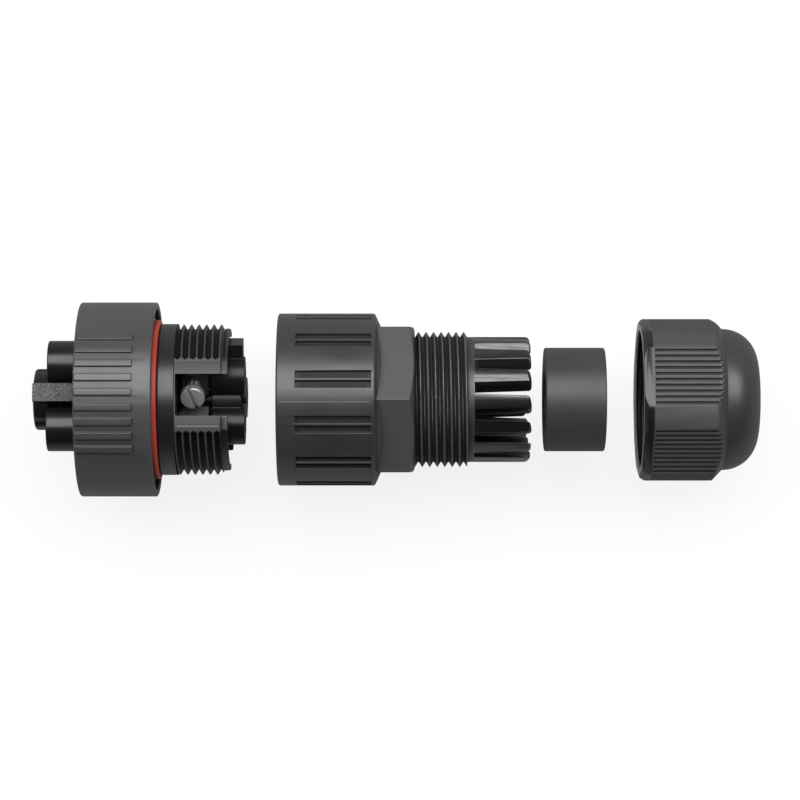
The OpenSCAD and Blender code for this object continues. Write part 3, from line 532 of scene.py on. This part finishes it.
# Snap ring and mating seal: an open ring of spring steel in the neck's groove, and a black rubber ring in front.
# The snap ring keeps the coupling ring on the tail.
spring_steel = metal("spring_steel", colour=(0.45, 0.45, 0.47), metallic=1.0, roughness=0.35,
                     streak_size=0.0002, streak_depth=0.000002)
dress("snap_ring", spring_steel)
matte_rubber = plastic("matte_black_rubber", colour=(0.036, 0.036, 0.037), pale=(0.13, 0.13, 0.13),
                       roughness=0.45, grain_size=0.00025, grain_depth=0.000004, specular=0.8, edge_wear_and_highlight=0.5)
front_seal = soft_edged("mating_seal", edge=0.0001)
finish(front_seal, "mating_seal", "socket", matte_rubber)


# Housing seal: an orange-red ring of silicone rubber, pressed in a mould.
# It is stretched into the groove behind the shoulder, where the housing's mouth closes on it.
red_silicone = plastic("red_silicone", colour=(0.56, 0.06, 0.042), pale=(0.66, 0.14, 0.11), roughness=0.4,
                       grain_size=0.0003, grain_depth=0.000003, edge_wear_and_highlight=0.2)
housing_seal = soft_edged("housing_seal", edge=0.0001)
finish(housing_seal, "housing_seal", "socket", red_silicone)


# Coupling ring: a bayonet ring with two groups of grip ribs, moulded in matte dark grey plastic.
# It turns on the neck of the tail, and the snap ring keeps it there.
matte_grey = plastic("matte_grey_plastic", colour=(0.06, 0.06, 0.062), pale=(0.15, 0.15, 0.155), roughness=0.35,
                     grain_size=0.0002, grain_depth=0.000003, specular=1.0)
ring = soft_edged("coupling_ring", edge=0.00014)
finish(ring, "coupling_ring", "ring", matte_grey)


# Cable housing: body with shallow grip pockets, hexagon, gland thread and clamping fingers in one matte moulding.
# The mould's parting line runs along it, and the fingers come from a polished part of the tool.
def housing_skin(tree):
    """Painted shade on the rough floors of the pockets, a duller hexagon, painted highlights on the crests, a pale
    seam, and dark polished fingers.
    """
    dark_skin_and_shade, dull_skin = (0.006, 0.006, 0.0065, 1), (0.08, 0.08, 0.082, 1)
    gland_crest_highlight, pale_seam = (0.11, 0.11, 0.112, 1), (0.18, 0.18, 0.18, 1)
    polished, dull, rough, relief = 0.2, 0.38, 0.95, 0.0
    along, radius = around_axis(tree)
    fingers = band(tree, along, 0.0779, 0.0784)
    hexagon = between(tree, along, 0.0591, 0.0663)
    # Painted highlight along the gland thread's crests.
    crest_highlights = both(tree, between(tree, along, 0.0665, 0.077), band(tree, radius, 0.0132, 0.01345))
    # Painted shade on the pocket floors; the fingers share the dark colour as their own.
    shaded_floors = both(tree, between(tree, along, 0.0428, 0.0582),
                  both(tree, band(tree, radius, 0.0161, 0.0163), band(tree, radius, 0.01706, 0.01698)))
    seam = band(tree, radius, 0.01721, 0.01722)
    dark_and_shaded = either(tree, fingers, shaded_floors)
    mask = either(tree, dark_and_shaded, either(tree, hexagon, either(tree, crest_highlights, seam)))
    pale = mixed(tree, seam, mixed(tree, crest_highlights, dull_skin, gland_crest_highlight), pale_seam)
    colour = mixed(tree, dark_and_shaded, pale, dark_skin_and_shade)
    roughness = blend(tree, shaded_floors, blend(tree, fingers, dull, polished), rough)
    drawn = place(tree, "ShaderNodeMapping", {"Vector": object_point(tree), "Scale": (0.08, 1.0, 1.0)}).outputs[0]
    streak = place(tree, "ShaderNodeTexNoise", {"Vector": drawn, "Scale": 2200.0, "Detail": 3.0}).outputs["Fac"]
    polish = both(tree, fingers, spread(tree, streak, 0.35, 0.65, 0.0, 1.0))
    return mask, colour, roughness, relief, polish


matte_black = plastic("matte_black_plastic", colour=(0.03, 0.03, 0.032), pale=(0.12, 0.12, 0.125), roughness=0.33,
                      grain_size=0.0002, grain_depth=0.000003, specular=1.0, groove=0.6, zone=housing_skin)
female_form = {"pitch": 0.0015, "inner_width": 0.00135, "outer_width": 0.0003}
housing = soft_edged("cable_housing", edge=0.00014)
cut_thread(housing, matte_black, first=0.066502, last=0.0776, inner=0.01252, outer=0.01358, phase=0.066175,
           **male_form)
cut_thread(housing, matte_black, first=0.04275, last=0.0525, inner=0.0152, outer=0.01582, **female_form)
finish(housing, "cable_housing", "housing", matte_black)
seam_angle = math.radians(1.6)
parting_line = wound(BEAD, "parting_line", {"angle": seam_angle, "radius": 0.01713, "start": 0.0396,
                                            "end": 0.0581, "thickness": 0.00012, "material": matte_black})
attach(parting_line, "housing")


# Grommet: a plain sleeve of black rubber, pressed in a mould.
# It sits loose between housing and nut, and the fingers press it on the cable.
grommet = soft_edged("grommet", edge=0.00015)
finish(grommet, "grommet", "grommet", matte_rubber)


# Gland nut: six grooved grip flats with smooth corner panels and a dome, moulded in dark plastic.
# Its thread draws it over the fingers, and its cone inside bends them on to the grommet.
def nut_skin(tree):
    """Smooth dark collar, duller grip behind it, painted shade in the bore and a painted highlight on the edge of
    the mouth.
    """
    dark_collar, dull_grip = (0.008, 0.008, 0.0085, 1), (0.058, 0.058, 0.06, 1)
    bore_shade, mouth_edge_highlight = (0.002, 0.002, 0.002, 1), (0.5, 0.5, 0.5, 1)
    smooth, dull, relief = 0.27, 0.62, 0.0
    along, radius = around_axis(tree)
    collar = band(tree, along, 0.1134, 0.1132)
    grip = between(tree, along, 0.1133, 0.1262)
    # Painted highlight on the edge of the mouth.
    lit_mouth_edge = both(tree, band(tree, along, 0.112, 0.1117), band(tree, radius, 0.0152, 0.0148))
    # Painted shade inside the bore.
    shaded_bore = band(tree, radius, 0.0147, 0.0145)
    skin = mixed(tree, shaded_bore, mixed(tree, collar, dull_grip, dark_collar), bore_shade)
    colour = mixed(tree, lit_mouth_edge, skin, mouth_edge_highlight)
    return either(tree, collar, grip), colour, blend(tree, collar, dull, smooth), relief, None


nut_black = plastic("nut_black_plastic", colour=(0.027, 0.027, 0.029), pale=(0.17, 0.17, 0.175), roughness=0.36,
                    grain_size=0.0002, grain_depth=0.000003, specular=1.0, groove=0.9, zone=nut_skin)
nut = soft_edged("gland_nut", edge=0.00012)
cut_thread(nut, nut_black, first=0.1121, last=0.1219, inner=0.0137, outer=0.01432, **female_form)
finish(nut, "gland_nut", "nut", nut_black)


# Studio: a pale floor just under the part and a soft light above the camera, as over a product table.
# The surround is pale at the table's height and dim overhead, so the dark plastic keeps its depth.
def shown_level(tree, to_camera, mirrored, other):
    """Level of a surface for the rays of the camera, for mirrored or refracted ones and for all others."""
    rays = place(tree, "ShaderNodeLightPath", {}).outputs
    bounced = either(tree, rays["Is Glossy Ray"], rays["Is Transmission Ray"])
    return blend(tree, rays["Is Camera Ray"], blend(tree, bounced, other, mirrored), to_camera)


floor_mesh = bpy.data.meshes.new("floor")
floor_half = 4.0
floor_gap = 0.0005
floor_z = cad_box[0][2] - floor_gap
floor_mesh.from_pydata([(-floor_half, -floor_half, floor_z), (floor_half, -floor_half, floor_z),
                        (floor_half, floor_half, floor_z), (-floor_half, floor_half, floor_z)], [], [(0, 1, 2, 3)])
floor = bpy.data.objects.new("floor", floor_mesh)
bpy.context.scene.collection.objects.link(floor)
pale_floor = bpy.data.materials.new("pale_floor")
pale_floor.use_nodes = True
tree = pale_floor.node_tree
shader = tree.nodes["Principled BSDF"]
shader.inputs["Base Color"].default_value = (0.2, 0.2, 0.2, 1)
shader.inputs["Roughness"].default_value = 0.9
shader.inputs["Specular IOR Level"].default_value = 0.0
shader.inputs["Emission Color"].default_value = (1, 1, 1, 1)
tree.links.new(shown_level(tree, to_camera=0.84, mirrored=0.12, other=0.0), shader.inputs["Emission Strength"])
floor_mesh.materials.append(pale_floor)

world = bpy.data.worlds.new("surround")
bpy.context.scene.world = world
world.use_nodes = True
tree = world.node_tree
direction = place(tree, "ShaderNodeTexCoord", {}).outputs["Generated"]
towards = place(tree, "ShaderNodeSeparateXYZ", {0: direction}).outputs
overhead = spread(tree, towards["Y"], -0.4, 0.8, 0.04, 0.16)
wall = spread(tree, towards["Y"], -0.8, 0.2, 0.17, 0.3)
walls = blend(tree, band(tree, towards["Z"], 0.2, 0.1), overhead, wall)
fill = spread(tree, towards["Y"], -0.2, 1.0, 0.2, 0.4)
level = shown_level(tree, to_camera=1.0, mirrored=walls, other=fill)
tree.nodes["Background"].inputs["Color"].default_value = (1, 1, 1, 1)
tree.links.new(level, tree.nodes["Background"].inputs["Strength"])

lamp_data = bpy.data.lights.new("softbox", "AREA")
lamp_data.shape = "RECTANGLE"
lamp_data.size = 1.6
lamp_data.size_y = 0.55
lamp_data.energy = 7.9
softbox = bpy.data.objects.new("softbox", lamp_data)
bpy.context.scene.collection.objects.link(softbox)
middle_x, lamp_y, lamp_z = 0.0636, 0.32, 0.66
softbox.location = (middle_x, lamp_y, lamp_z)
softbox.rotation_euler = (-math.atan2(lamp_y, lamp_z), 0, 0)

camera_data = bpy.data.cameras.new("camera")
field_of_view = math.radians(14.25)
camera_data.sensor_width = 36.0
camera_data.lens = camera_data.sensor_width / 2 / math.tan(field_of_view / 2)
camera = bpy.data.objects.new("camera", camera_data)
bpy.context.scene.collection.objects.link(camera)
camera.location = (middle_x, -0.0001, 0.64)
bpy.context.scene.camera = camera
bpy.context.scene.view_settings.view_transform = "Standard"
